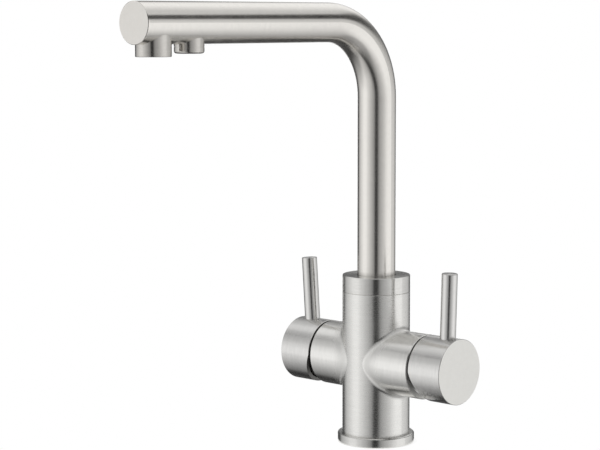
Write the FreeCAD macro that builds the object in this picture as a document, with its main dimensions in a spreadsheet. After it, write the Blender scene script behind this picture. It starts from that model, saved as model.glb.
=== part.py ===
import FreeCAD, Part
import math
import os
import re
import Sketcher

# Three-way kitchen mixer tap: a brushed steel barrel with two side arms, a pin-lever handle on each arm,
# and a high swivel spout with two outlets.
# The origin is the middle of the base's underside. +Z is up, the spout points to -Y, the mixer's handle
# is on +X and the filtered water's handle on -X. Millimetres and degrees.

SIZES = (
    # Base
    ("flange_radius", 28.45, "base flange, outside"),
    ("flange_height", 6.9, "base flange, thickness"),
    ("flange_round", 1.0, "rounding of the flange's top edge"),
    ("recess_radius", 20.0, "hollow under the tap that takes hoses and studs"),
    ("recess_depth", 16.0, "depth of that hollow, up to the inlet block"),
    ("spigot_radius", 22.2, "neck of the barrel that sits in the flange"),
    ("spigot_length", 3.5, "length of that neck"),
    ("seal_inner_radius", 23.6, "seal groove, inner wall"),
    ("seal_width", 3.2, "seal groove, width"),
    ("seal_depth", 2.0, "seal groove, depth"),
    # Inlets
    ("block_radius", 19.0, "bore above the hollow that takes the inlet block"),
    ("block_thickness", 14.0, "inlet block, thickness"),
    ("hose_thread_radius", 4.5, "hose inlet M10x1, tapping drill"),
    ("hose_thread_depth", 10.0, "hose inlet, thread depth"),
    ("hose_forward", 10.5, "inlets, distance from the middle along X"),
    ("hose_side", 6.5, "inlets and their ports, distance from the middle along Y"),
    ("stud_radius", 2.5, "stud hole M6, tapping drill"),
    ("stud_depth", 12.0, "stud hole, depth"),
    ("stud_spacing", 30.0, "stud holes, centre to centre"),
    ("waterway_radius", 2.8, "waterways that rise from the inlets"),
    ("crossover_radius", 2.4, "drilling that lifts mixed water into its chamber"),
    ("crossover_forward", 8.5, "that drilling, distance from the middle along X"),
    # Barrel and collar
    ("body_radius", 25.0, "barrel and collar, outside"),
    ("body_top", 112.5, "height of the seam under the collar"),
    ("collar_height", 12.3, "collar above the seam"),
    ("edge_break", 0.3, "small chamfer on turned edges"),
    ("socket_radius", 21.0, "counterbore that takes the spout's flange"),
    ("socket_depth", 9.0, "depth of that counterbore"),
    ("bore_radius", 11.0, "bore that seals on the spout's plug"),
    ("bore_depth", 21.5, "depth of that bore below the counterbore"),
    ("chamber_radius", 7.5, "mixed water chamber"),
    ("chamber_depth", 15.0, "depth of the chamber below the bore"),
    ("stalk_bore_radius", 5.0, "bore for the filtered water's stalk"),
    # Side arms
    ("arm_height", 61.5, "height of the arms' axis"),
    ("arm_step", 1.25, "arms and handle caps slimmer than the barrel"),
    ("mixer_arm_reach", 48.6, "end face of the mixer's arm from the middle"),
    ("filter_arm_reach", 45.0, "end face of the filter's arm from the middle"),
    ("arm_break", 0.5, "chamfer on an arm's end"),
    ("mouth_radius", 20.2, "threaded mouth of an arm"),
    ("mouth_depth", 9.0, "depth of the mouth"),
    ("pocket_radius", 17.5, "cartridge pocket"),
    ("weld_radius", 4.0, "fillet where an arm meets the barrel"),
    # Cartridge ports, seen from the arm's mouth
    ("outlet_drop", 4.5, "outlet port below the arm's axis"),
    ("outlet_port_radius", 2.6, "outlet port"),
    ("inlet_rise", 5.5, "inlet ports above the arm's axis"),
    ("inlet_port_radius", 2.2, "inlet ports"),
    ("port_seal_width", 1.3, "width of a port seal"),
    ("port_seal_thickness", 1.0, "thickness of a port seal"),
    ("peg_radius", 1.6, "locating pegs of the cartridge"),
    ("peg_length", 2.4, "length of those pegs"),
    ("peg_offset", 13.5, "pegs, distance from the arm's axis"),
    # Cartridge stack, from the seat outwards
    ("base_thickness", 4.5, "cartridge base"),
    ("disc_thickness", 3.0, "each ceramic disc"),
    ("disc_radius", 12.5, "fixed disc"),
    ("moving_disc_radius", 12.4, "moving disc"),
    ("carrier_radius", 10.5, "disc carrier"),
    ("carrier_thickness", 5.0, "disc carrier, thickness"),
    ("carrier_flat", 9.0, "carrier's flats, distance from the axis"),
    ("mixing_recess_radius", 6.7, "hollow in the moving disc that joins the ports"),
    ("mixing_recess_depth", 1.6, "depth of that hollow"),
    ("yoke_flange_thickness", 3.1, "flange of the yoke"),
    ("roof_thickness", 2.1, "roof of the housing"),
    ("cavity_radius", 15.0, "inside of the housing"),
    ("guide_radius", 13.0, "housing's neck, outside"),
    ("guide_length", 5.0, "housing's neck, length"),
    ("neck_radius", 11.0, "yoke's neck"),
    ("neck_stand", 1.0, "yoke's neck above the arm's end face"),
    ("dome_skirt", 1.2, "dress dome below the arm's end face"),
    ("dome_rise", 3.0, "dress dome above the arm's end face"),
    ("dome_wall", 1.0, "wall of the dress dome"),
    ("notch_count", 6, "key notches in the retaining nut"),
    ("notch_width", 3.5, "key notch, across"),
    ("notch_depth", 2.5, "key notch, depth"),
    # Handle linkage
    ("tilt_range", 18.0, "travel of the handle from closed to open"),
    ("pivot_depth", 6.0, "tilt pin below the arm's end face"),
    ("pin_radius", 1.75, "tilt pin"),
    ("hub_radius", 4.2, "stem's hub on the pin"),
    ("hub_width", 8.0, "stem's hub along the pin"),
    ("shank_width", 7.0, "square shank of the stem"),
    ("finger_radius", 1.6, "stem's finger below the pin"),
    ("ball_radius", 2.2, "ball at the finger's end"),
    ("ball_sink", 2.0, "ball's centre below the carrier's face"),
    # Handles
    ("cap_gap", 1.5, "slit between arm and handle cap"),
    ("cap_round", 0.6, "rounding of the cap's open edge"),
    ("cap_length", 28.5, "handle cap"),
    ("cap_wall", 2.5, "wall of the handle cap"),
    ("cap_end", 3.0, "end of the handle cap"),
    ("boss_radius", 9.5, "boss inside the cap"),
    ("boss_start", 9.0, "boss's near end from the arm's end face"),
    ("grip_depth", 14.0, "square socket in the boss"),
    ("relief_start", 1.0, "height above the axis where the slanted cut starts"),
    ("relief_angle", 19.0, "slant of the cut under the handle cap"),
    ("lever_radius", 5.75, "pin lever"),
    ("lever_length", 46.6, "pin lever above the cap"),
    ("lever_inset", 10.8, "lever's axis from the cap's outer face"),
    ("lever_round", 0.7, "rounding of the lever's top edge"),
    ("lever_seat", 1.6, "depth of the lever's seat in the cap"),
    ("thread_radius", 4.0, "threaded hole for lever and set screw"),
    ("thread_room", 1.2, "room between the lever's thread and the set screw"),
    ("set_screw_length", 5.0, "set screw under the lever"),
    ("set_screw_tip", 2.0, "set screw's flat tip, radius"),
    ("set_screw_key", 2.0, "set screw's hexagon, half its width over flats"),
    ("mixer_lever_lean", 1.6, "outward lean of the mixer's lever"),
    ("filter_lever_lean", 4.0, "outward lean of the filter's lever"),
    # Spout
    ("spout_height", 309.8, "height of the spout's centre line"),
    ("spout_reach", 236.0, "end of the spout from the swivel axis"),
    ("tube_radius", 14.0, "spout tube, outside"),
    ("tube_wall", 1.5, "spout tube, wall"),
    ("bend_radius", 54.0, "spout's bend at the centre line"),
    ("end_thickness", 1.5, "end disc of the spout"),
    ("end_lip", 3.0, "lip of the end disc inside the tube"),
    ("flange_disc_radius", 20.0, "spout's flange in the counterbore"),
    ("flange_disc_thickness", 3.0, "thickness of that flange"),
    ("plug_into_tube", 10.0, "part of the fitting brazed into the tube"),
    ("spout_bore_radius", 6.5, "waterway through the fitting"),
    ("plug_end_gap", 1.0, "room under the spout's plug"),
    ("oring_radius", 1.2, "O-rings' section"),
    ("oring_first", 3.5, "lower O-ring above the plug's end"),
    ("oring_pitch", 7.0, "distance between the O-rings"),
    ("slip_thickness", 1.0, "slip ring and bush flange"),
    ("bush_wall", 2.4, "collar bush, wall"),
    ("bush_length", 10.5, "collar bush above its flange"),
    # Filtered water pipe
    ("pipe_radius", 4.0, "inner pipe, outside"),
    ("pipe_wall", 1.0, "inner pipe, wall"),
    ("pipe_turn_radius", 12.0, "inner pipe's turn into its outlet"),
    ("stalk_length", 20.0, "stalk at the pipe's foot"),
    ("stalk_waterway_radius", 2.2, "waterway through the stalk's foot"),
    ("stalk_oring_radius", 0.7, "section of the stalk's O-ring"),
    ("stalk_oring_rise", 3.5, "that O-ring above the stalk's end"),
    ("pipe_into_stalk", 10.0, "pipe inside its stalk"),
    # Outlets
    ("main_outlet_inset", 16.7, "main outlet's axis from the spout's end"),
    ("main_outlet_radius", 11.8, "main outlet, outside"),
    ("main_outlet_stand", 7.8, "main outlet's lower face below the tube"),
    ("main_outlet_round", 0.5, "rounding of its lower edge"),
    ("aerator_radius", 10.3, "bore for the aerator"),
    ("aerator_depth", 7.0, "depth of that bore"),
    ("aerator_sink", 0.7, "aerator above the outlet's lower face"),
    ("aerator_seal_thickness", 1.4, "seal over the aerator"),
    ("aerator_wall", 1.4, "wall of the aerator's shell"),
    ("grid_thickness", 1.2, "grid and flow plate of the aerator"),
    ("jet_radius", 1.3, "openings in the flow plate"),
    ("jet_ring_radius", 5.2, "circle of those openings"),
    ("jet_count", 6, "openings on that circle"),
    ("outlet_spacing", 31.5, "distance between the two outlets"),
    ("filter_outlet_radius", 10.05, "filtered water's outlet, outside"),
    ("filter_outlet_stand", 6.1, "its lower face below the tube"),
    ("filter_outlet_round", 1.8, "rounding of its lower edge"),
    ("ring_height", 4.2, "bottom of that outlet to its hairline groove"),
    ("ring_groove", 0.35, "width and depth of the groove"),
    ("nozzle_radius", 7.2, "bore for the nozzle insert"),
    ("nozzle_depth", 5.0, "depth of that bore"),
    ("nozzle_sink", 0.5, "insert above the outlet's lower face"),
    ("nozzle_bore_radius", 3.2, "waterway through the insert"),
    ("nozzle_seal_thickness", 1.0, "seal over the insert"),
    # Clearances
    ("fit_gap", 0.05, "between pieces that don't move on each other"),
    ("running_gap", 0.08, "between a turning piece and its bore"),
    ("film_gap", 0.05, "between the ceramic discs"),
    ("slide_gap", 0.2, "above and below turning flanges"),
    ("swing_gap", 0.3, "beside pieces that swing"),
    ("sight_gap", 0.35, "ring between spout tube and collar"),
)

FUNCTIONS = ("sin", "cos", "tan", "min")
SIDES = ("mixer", "filter")

doc = FreeCAD.newDocument("mixer_tap")
sheet = doc.addObject("Spreadsheet::Sheet", "Sheet")
for row, (alias, number, meaning) in enumerate(SIZES, start=1):
    sheet.set(f"A{row}", meaning)
    sheet.set(f"B{row}", str(number))
    sheet.setAlias(f"B{row}", alias)
doc.recompute()
nodes = []


# Reading and binding sizes

def in_sheet(text):
    """Give plain size names their place in the sheet."""
    def refer(word):
        return word.group() if word.group() in FUNCTIONS else "Sheet." + word.group()
    return re.sub(r"[a-z][a-z_]*", refer, text)


def value(text):
    """The number that an expression of size names gives."""
    return float(sheet.evalExpression(in_sheet(text)))


def bind(thing, path, text):
    """Tie one property to an expression of size names."""
    thing.setExpression(path, in_sheet(text))


def node(piece, name):
    """Register a finished sub-part under its own name."""
    piece.Label = name
    nodes.append(piece)
    return piece


# Sketches

def new_body(name):
    return doc.addObject("PartDesign::Body", name + "_body")


def origin_feature(body, role):
    return next(one for one in body.Origin.OriginFeatures if one.Role == role)


def new_sketch(body, plane, shift="0"):
    """A sketch on one of the body's own planes, moved along its normal."""
    made = body.newObject("Sketcher::SketchObject", "sketch")
    made.AttachmentSupport = (origin_feature(body, plane), [""])
    made.MapMode = "FlatFace"
    if shift != "0":
        bind(made, "AttachmentOffset.Base.z", shift)
    return made


def hold_point(made, geometry, end, across, along):
    """Hold one point of a sketch at its two sizes."""
    for kind, axis, text in (("DistanceX", -2, across), ("DistanceY", -1, along)):
        if text == "0":
            made.addConstraint(Sketcher.Constraint("PointOnObject", geometry, end, axis))
        else:
            index = made.addConstraint(Sketcher.Constraint(kind, -1, 1, geometry, end, value(text)))
            bind(made, f"Constraints[{index}]", text)


def draw_outline(made, corners):
    """A closed outline of straight lines through corners (across, along)."""
    points = [FreeCAD.Vector(value(across), value(along), 0) for across, along in corners]
    count = len(points)
    first = made.GeometryCount
    for index in range(count):
        made.addGeometry(Part.LineSegment(points[index], points[(index + 1) % count]), False)
    for index, (across, along) in enumerate(corners):
        before = first + (index - 1) % count
        made.addConstraint(Sketcher.Constraint("Coincident", before, 2, first + index, 1))
        hold_point(made, first + index, 1, across, along)


def draw_circle(made, across, along, radius):
    centre = FreeCAD.Vector(value(across), value(along), 0)
    circle = made.addGeometry(Part.Circle(centre, FreeCAD.Vector(0, 0, 1), value(radius)), False)
    hold_point(made, circle, 3, across, along)
    index = made.addConstraint(Sketcher.Constraint("Radius", circle, value(radius)))
    bind(made, f"Constraints[{index}]", radius)


def draw_box(made, half_across, half_along):
    """A rectangle about the sketch's middle."""
    low_across, low_along = f"0 - ({half_across})", f"0 - ({half_along})"
    draw_outline(made, ((low_across, low_along), (half_across, low_along),
                        (half_across, half_along), (low_across, half_along)))


def draw_route(made, legs, centres):
    """Straight legs joined by quarter arcs that turn left; centres are the arcs' across sizes."""
    ends = []
    for start, finish in legs:
        points = [FreeCAD.Vector(value(across), value(along), 0) for across, along in (start, finish)]
        line = made.addGeometry(Part.LineSegment(*points), False)
        hold_point(made, line, 1, *start)
        hold_point(made, line, 2, *finish)
        ends.append((line, points))
    for (before, entry), (after, exit), centre_across in zip(ends, ends[1:], centres):
        corner_a, corner_b = entry[1], exit[0]
        centre = FreeCAD.Vector(value(centre_across), min(corner_a.y, corner_b.y), 0)
        spokes = [point - centre for point in (corner_a, corner_b)]
        angles = [math.atan2(spoke.y, spoke.x) for spoke in spokes]
        circle = Part.Circle(centre, FreeCAD.Vector(0, 0, 1), spokes[0].Length)
        arc = made.addGeometry(Part.ArcOfCircle(circle, *angles), False)
        made.addConstraint(Sketcher.Constraint("Coincident", before, 2, arc, 1))
        made.addConstraint(Sketcher.Constraint("Coincident", arc, 2, after, 1))
        index = made.addConstraint(Sketcher.Constraint("DistanceX", -1, 1, arc, 3, centre.x))
        bind(made, f"Constraints[{index}]", centre_across)


# Features

def turn(body, corners, kind="PartDesign::Revolution"):
    """Turn an outline of (radius, height) corners round the body's Z axis."""
    section = new_sketch(body, "XZ_Plane")
    draw_outline(section, corners)
    made = body.newObject(kind, "turned")
    made.Profile = section
    made.ReferenceAxis = (section, ["V_Axis"])
    made.Angle = 360.0
    return made


def groove(body, corners):
    return turn(body, corners, "PartDesign::Groove")


def turned(name, corners):
    """A whole turned piece."""
    body = new_body(name)
    turn(body, corners)
    return node(body, name)


def pad(body, sketch, length, reverse=False):
    made = body.newObject("PartDesign::Pad", "pad")
    made.Profile = sketch
    made.Reversed = reverse
    bind(made, "Length", length)
    return made


def pocket(body, sketch, length, forward=False, both_ways=False):
    """Cut a sketch's shape against its normal, along it, or both ways."""
    made = body.newObject("PartDesign::Pocket", "pocket")
    made.Profile = sketch
    made.Reversed = forward
    if both_ways:
        made.SideType = "Symmetric"
    bind(made, "Length", length)
    return made


def drill(body, plane, start, holes, depth, forward=False):
    """Round holes (across, along, radius) that start on a shifted plane."""
    sketch = new_sketch(body, plane, start)
    for hole in holes:
        draw_circle(sketch, *hole)
    return pocket(body, sketch, depth, forward)


def rims(feature, radius, height):
    """The names of a feature's circular edges of one radius at one height."""
    doc.recompute()
    found = []
    for index, edge in enumerate(feature.Shape.Edges, start=1):
        curve = edge.Curve
        if not isinstance(curve, Part.Circle):
            continue
        if abs(curve.Radius - value(radius)) < 1e-4 and abs(curve.Center.z - value(height)) < 1e-4:
            found.append(f"Edge{index}")
    if not found:
        raise RuntimeError(f"no rim of radius {radius} at {height} on {feature.Label}")
    return found


def fillet(body, feature, edges, radius):
    made = body.newObject("PartDesign::Fillet", "fillet")
    made.Base = (feature, edges)
    bind(made, "Radius", radius)
    return made


def chamfer(body, feature, edges, size):
    made = body.newObject("PartDesign::Chamfer", "chamfer")
    made.Base = (feature, edges)
    bind(made, "Size", size)
    return made


def end_rims(feature, reach):
    """The names of a feature's circular edges round X at one distance from the middle."""
    doc.recompute()
    found = []
    for index, edge in enumerate(feature.Shape.Edges, start=1):
        curve = edge.Curve
        if isinstance(curve, Part.Circle) and abs(curve.Center.x - value(reach)) < 1e-4:
            found.append(f"Edge{index}")
    return found


def repeat_round(body, feature, count):
    """Copies of one feature, evenly round the body's Z axis."""
    made = body.newObject("PartDesign::PolarPattern", "pattern")
    made.Originals = [feature]
    made.Axis = (origin_feature(body, "Z_Axis"), [""])
    made.Angle = 360.0
    bind(made, "Occurrences", count)
    body.Tip = made
    return made


def primitive(kind, name, sizes, base=()):
    """A Part primitive with its sizes and place bound to the sheet."""
    made = doc.addObject(kind, name)
    for path, text in sizes.items():
        bind(made, path, text)
    for letter, text in zip("xyz", base):
        if text != "0":
            bind(made, "Placement.Base." + letter, text)
    return made


def cylinder(name, radius, length, base=()):
    return primitive("Part::Cylinder", name, {"Radius": radius, "Height": length}, base)


def box(name, length, width, depth, base=()):
    return primitive("Part::Box", name, {"Length": length, "Width": width, "Height": depth}, base)


def fuse(name, shapes):
    made = doc.addObject("Part::MultiFuse", name)
    made.Shapes = shapes
    return made


def cut(name, stock, tool):
    made = doc.addObject("Part::Cut", name)
    made.Base = stock
    made.Tool = tool
    return made


def group(name, solids):
    """Like solids that share one node."""
    made = doc.addObject("Part::Compound", name + "_group")
    made.Links = solids
    return node(made, name)


def ring(name, outer, inner, height, base):
    """A flat ring on its back at base."""
    lower = base[:2] + (f"{base[2]} - 1",)
    return cut(name, cylinder(name + "_disc", outer, height, base),
               cylinder(name + "_hole", inner, f"{height} + 2", lower))


# Places that several pieces share. Inside an arm +Z points out of its mouth, +X points up
# and the height 0 is the arm's end face.

ARM_REACH = {"mixer": "mixer_arm_reach", "filter": "0 - filter_arm_reach"}
ARM_TURN = {
    "mixer": FreeCAD.Rotation(FreeCAD.Vector(0, 0, 1), FreeCAD.Vector(0, -1, 0), FreeCAD.Vector(1, 0, 0)),
    "filter": FreeCAD.Rotation(FreeCAD.Vector(0, 0, 1), FreeCAD.Vector(0, 1, 0), FreeCAD.Vector(-1, 0, 0)),
}
OUTWARD = {"mixer": 1, "filter": -1}
LEVER_LEAN = {"mixer": "mixer_lever_lean", "filter": "filter_lever_lean"}

ROOF_TOP = "(0 - mouth_depth)"
ROOF_UNDER = f"({ROOF_TOP} - roof_thickness)"
YOKE_TOP = f"({ROOF_UNDER} - slide_gap)"
YOKE_UNDER = f"({YOKE_TOP} - yoke_flange_thickness)"
CARRIER_TOP = f"({YOKE_UNDER} - slide_gap)"
CARRIER_UNDER = f"({CARRIER_TOP} - carrier_thickness)"
MOVING_UNDER = f"({CARRIER_UNDER} - disc_thickness)"
DISC_TOP = f"({MOVING_UNDER} - film_gap)"
DISC_UNDER = f"({DISC_TOP} - disc_thickness)"
SEAT = f"({DISC_UNDER} - base_thickness)"
BALL_DROP = f"(0 - ({CARRIER_TOP}) + ball_sink - pivot_depth)"
HALF_SLIDE = f"({BALL_DROP} * tan(tilt_range / 2))"
CAP_FACE = "(cap_gap + cap_length)"
LEVER_STATION = f"({CAP_FACE} - lever_inset)"

OUTLET_PORT = ("0 - outlet_drop", "0", "outlet_port_radius")
INLET_PORTS = (("inlet_rise", "0 - hose_side", "inlet_port_radius"),
               ("inlet_rise", "hose_side", "inlet_port_radius"))
PORTS = {"mixer": (OUTLET_PORT,) + INLET_PORTS, "filter": (OUTLET_PORT, INLET_PORTS[0])}

SOCKET_FLOOR = "(body_top - socket_depth)"
BORE_FLOOR = f"({SOCKET_FLOOR} - bore_depth)"
CHAMBER_FLOOR = f"({BORE_FLOOR} - chamber_depth)"
STALK_FLOOR = "(arm_height - outlet_drop - outlet_port_radius - slide_gap)"
STALK_UNDER = "(arm_height - outlet_drop + outlet_port_radius + slide_gap)"
SPOUT_FLANGE_UNDER = f"({SOCKET_FLOOR} + slip_thickness)"
SPOUT_FLANGE_TOP = f"({SPOUT_FLANGE_UNDER} + flange_disc_thickness)"
BUSH_UNDER = f"({SPOUT_FLANGE_TOP} + slide_gap)"
BUSH_FLANGE_TOP = f"({BUSH_UNDER} + slip_thickness)"
BUSH_TOP = f"({BUSH_FLANGE_TOP} + bush_length)"
BUSH_OUTER = "(tube_radius + running_gap + bush_wall)"
COLLAR_TOP = "(body_top + collar_height)"
PLUG_END = f"({BORE_FLOOR} + plug_end_gap)"
ARM_RADIUS = "(body_radius - arm_step)"
TUBE_BORE = "(tube_radius - tube_wall)"
MAIN_OUTLET_REACH = "(spout_reach - main_outlet_inset)"
MAIN_OUTLET_BOTTOM = "(spout_height - tube_radius - main_outlet_stand)"
FILTER_OUTLET_REACH = f"({MAIN_OUTLET_REACH} - outlet_spacing)"
FILTER_OUTLET_BOTTOM = "(spout_height - tube_radius - filter_outlet_stand)"
PIPE_OUTLET_TOP = f"({FILTER_OUTLET_BOTTOM} + nozzle_depth)"
FLANGE_SEAT = "(flange_height - spigot_length)"
BLOCK_TOP = "(recess_depth + block_thickness)"
INLETS = (("hose_forward", "hose_side"), ("hose_forward", "0 - hose_side"),
          ("0 - hose_forward", "0 - hose_side"))


def in_arm(piece, side):
    """Stand a piece in the mouth of one arm."""
    piece.Placement = FreeCAD.Placement(FreeCAD.Vector(), ARM_TURN[side])
    bind(piece, "Placement.Base.x", ARM_REACH[side])
    bind(piece, "Placement.Base.z", "arm_height")
    return piece


# Base, barrel and collar

def make_base_flange():
    """Turned foot ring with the barrel's seat above and the seal groove below."""
    body = new_body("base_flange")
    ring_shape = turn(body, (
        ("recess_radius", "0"),
        ("seal_inner_radius", "0"),
        ("seal_inner_radius", "seal_depth"),
        ("seal_inner_radius + seal_width", "seal_depth"),
        ("seal_inner_radius + seal_width", "0"),
        ("flange_radius", "0"),
        ("flange_radius", "flange_height"),
        ("spigot_radius + fit_gap", "flange_height"),
        ("spigot_radius + fit_gap", FLANGE_SEAT),
        ("recess_radius", FLANGE_SEAT),
    ))
    fillet(body, ring_shape, rims(ring_shape, "flange_radius", "flange_height"), "flange_round")
    node(body, "base_flange")


def make_base_seal():
    """Flat rubber ring, pressed flush with the flange's underside."""
    inner, outer = "seal_inner_radius + fit_gap", "seal_inner_radius + seal_width - fit_gap"
    turned("base_seal", ((inner, "0"), (outer, "0"), (outer, "seal_depth"), (inner, "seal_depth")))


def make_inlet_block():
    """Steel disc in the barrel's foot: three hose threads and two stud holes."""
    body = new_body("inlet_block")
    under = "recess_depth"
    outer = "block_radius - fit_gap"
    turn(body, (("0", under), (outer, under), (outer, BLOCK_TOP), ("0", BLOCK_TOP)))
    drill(body, "XY_Plane", under, [place + ("hose_thread_radius",) for place in INLETS],
          "hose_thread_depth", forward=True)
    drill(body, "XY_Plane", under, [place + ("waterway_radius",) for place in INLETS],
          "block_thickness + 1", forward=True)
    drill(body, "XY_Plane", under,
          [("0", "stud_spacing / 2", "stud_radius"), ("0", "0 - stud_spacing / 2", "stud_radius")],
          "stud_depth", forward=True)
    node(body, "inlet_block")


def junction_edges(feature):
    """The two closed curves where the arms leave the barrel."""
    doc.recompute()
    found = []
    for index, edge in enumerate(feature.Shape.Edges, start=1):
        radii = sorted(face.Surface.Radius for face in feature.Shape.ancestorsOfType(edge, Part.Face)
                       if isinstance(face.Surface, Part.Cylinder))
        if len(radii) == 2 and abs(radii[0] - value(ARM_RADIUS)) < 1e-6 \
                and abs(radii[1] - value("body_radius")) < 1e-6:
            found.append(f"Edge{index}")
    return found


def make_tap_body():
    """Barrel and arms in one, with the spout's socket, the cartridge pockets and the waterways."""
    body = new_body("tap_body")
    turn(body, (
        ("0", FLANGE_SEAT),
        ("spigot_radius", FLANGE_SEAT),
        ("spigot_radius", "flange_height"),
        ("body_radius", "flange_height"),
        ("body_radius", "body_top - edge_break"),
        ("body_radius - edge_break", "body_top"),
        ("0", "body_top"),
    ))
    for side in SIDES:
        arm = new_sketch(body, "YZ_Plane")
        draw_circle(arm, "0", "arm_height", ARM_RADIUS)
        solid = pad(body, arm, side + "_arm_reach", reverse=side == "filter")
    edges = junction_edges(solid)
    welded = fillet(body, solid, edges, "weld_radius")
    ends = [edge for side in SIDES for edge in end_rims(welded, ARM_REACH[side])]
    chamfer(body, welded, ends, "arm_break")
    groove(body, (
        ("0", STALK_FLOOR),
        ("stalk_bore_radius", STALK_FLOOR),
        ("stalk_bore_radius", CHAMBER_FLOOR),
        ("chamber_radius", CHAMBER_FLOOR),
        ("chamber_radius", BORE_FLOOR),
        ("bore_radius", BORE_FLOOR),
        ("bore_radius", SOCKET_FLOOR),
        ("socket_radius", SOCKET_FLOOR),
        ("socket_radius", "body_top + 1"),
        ("0", "body_top + 1"),
    ))
    drill(body, "XY_Plane", FLANGE_SEAT, [("0", "0", "recess_radius")],
          f"recess_depth - {FLANGE_SEAT}", forward=True)
    drill(body, "XY_Plane", FLANGE_SEAT, [("0", "0", "block_radius")],
          f"{BLOCK_TOP} - {FLANGE_SEAT}", forward=True)
    for side in SIDES:
        face = ARM_REACH[side]
        forward = side == "filter"
        drill(body, "YZ_Plane", face, [("0", "arm_height", "mouth_radius")], "mouth_depth", forward)
        drill(body, "YZ_Plane", face, [("0", "arm_height", "pocket_radius")], f"0 - {SEAT}", forward)
        pegs = [(f"{sign} * peg_offset", "arm_height", "peg_radius + fit_gap") for sign in (1, -1)]
        drill(body, "YZ_Plane", face, pegs, f"peg_length + fit_gap - {SEAT}", forward)
    make_waterways(body)
    node(body, "tap_body")


def make_waterways(body):
    """Drillings from the inlet block up to the cartridges, and from these to the middle."""
    drill(body, "XY_Plane", BLOCK_TOP, [place + ("waterway_radius",) for place in INLETS],
          f"arm_height + inlet_rise + waterway_radius - {BLOCK_TOP}", forward=True)
    outlet_height = "arm_height - outlet_drop"
    seat = f"mixer_arm_reach + {SEAT}"
    drill(body, "YZ_Plane", seat,
          [(side, "arm_height + inlet_rise", "inlet_port_radius") for side in ("hose_side", "0 - hose_side")],
          f"{seat} - hose_forward")
    drill(body, "YZ_Plane", seat, [("0", outlet_height, "outlet_port_radius")], f"{seat} - crossover_forward")
    drill(body, "XY_Plane", BORE_FLOOR, [("crossover_forward", "0", "crossover_radius")],
          f"{BORE_FLOOR} - ({outlet_height}) + crossover_radius")
    seat = f"0 - filter_arm_reach - {SEAT}"
    depth = f"filter_arm_reach + {SEAT}"
    drill(body, "YZ_Plane", seat, [("0 - hose_side", "arm_height + inlet_rise", "inlet_port_radius")],
          f"{depth} - hose_forward", forward=True)
    drill(body, "YZ_Plane", seat, [("0", outlet_height, "outlet_port_radius")], depth, forward=True)


def make_collar():
    """Screwed ring that keeps the spout in, and its flanged plastic bush."""
    thread = "socket_radius - fit_gap"
    hole = "tube_radius + sight_gap"
    turned("collar", (
        (f"{BUSH_OUTER} + fit_gap", BUSH_FLANGE_TOP),
        (thread, BUSH_FLANGE_TOP),
        (thread, "body_top"),
        ("body_radius - edge_break", "body_top"),
        ("body_radius", "body_top + edge_break"),
        ("body_radius", f"{COLLAR_TOP} - edge_break"),
        ("body_radius - edge_break", COLLAR_TOP),
        (hole, COLLAR_TOP),
        (hole, f"{BUSH_TOP} + fit_gap"),
        (f"{BUSH_OUTER} + fit_gap", f"{BUSH_TOP} + fit_gap"),
    ))
    inner = "tube_radius + running_gap"
    turned("collar_bush", (
        (inner, BUSH_UNDER),
        ("flange_disc_radius", BUSH_UNDER),
        ("flange_disc_radius", BUSH_FLANGE_TOP),
        (BUSH_OUTER, BUSH_FLANGE_TOP),
        (BUSH_OUTER, BUSH_TOP),
        (inner, BUSH_TOP),
    ))
    turned("lower_slip_ring", (
        ("bore_radius + fit_gap", SOCKET_FLOOR),
        ("flange_disc_radius", SOCKET_FLOOR),
        ("flange_disc_radius", f"{SOCKET_FLOOR} + slip_thickness"),
        ("bore_radius + fit_gap", f"{SOCKET_FLOOR} + slip_thickness"),
    ))


# Spout

def make_spout_base():
    """Turned fitting at the spout's foot: sealing plug with two grooves, flange and tube socket."""
    plug = "bore_radius - running_gap"
    ring_middle = "bore_radius - running_gap / 2 - oring_radius"
    groove_floor = f"{ring_middle} - oring_radius"
    corners = [("spout_bore_radius", PLUG_END), (plug, PLUG_END)]
    for index in range(2):
        middle = f"{PLUG_END} + oring_first + {index} * oring_pitch"
        low, high = f"{middle} - oring_radius - fit_gap", f"{middle} + oring_radius + fit_gap"
        corners += [(plug, low), (groove_floor, low), (groove_floor, high), (plug, high)]
    corners += [
        (plug, SPOUT_FLANGE_UNDER),
        ("flange_disc_radius", SPOUT_FLANGE_UNDER),
        ("flange_disc_radius", SPOUT_FLANGE_TOP),
        (f"{TUBE_BORE} - fit_gap", SPOUT_FLANGE_TOP),
        (f"{TUBE_BORE} - fit_gap", f"{SPOUT_FLANGE_TOP} + plug_into_tube"),
        ("spout_bore_radius", f"{SPOUT_FLANGE_TOP} + plug_into_tube"),
    ]
    turned("spout_base", corners)
    rings = []
    for index in range(2):
        height = f"{PLUG_END} + oring_first + {index} * oring_pitch"
        rings.append(primitive("Part::Torus", f"oring_{index}", {
            "Radius1": ring_middle,
            "Radius2": "oring_radius",
        }, ("0", "0", height)))
    group("spout_o_rings", rings)


def make_pipe(name, legs, centres, foot, outer, inner):
    """A bent tube: a ring-shaped section swept along legs and quarter arcs."""
    body = new_body(name)
    section = new_sketch(body, "XY_Plane", foot)
    draw_circle(section, "0", "0", outer)
    draw_circle(section, "0", "0", inner)
    route = new_sketch(body, "YZ_Plane")
    draw_route(route, legs, centres)
    made = body.newObject("PartDesign::AdditivePipe", "pipe")
    made.Profile = section
    made.Spine = (route, [f"Edge{index}" for index in range(1, 2 * len(legs))])
    return body


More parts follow.
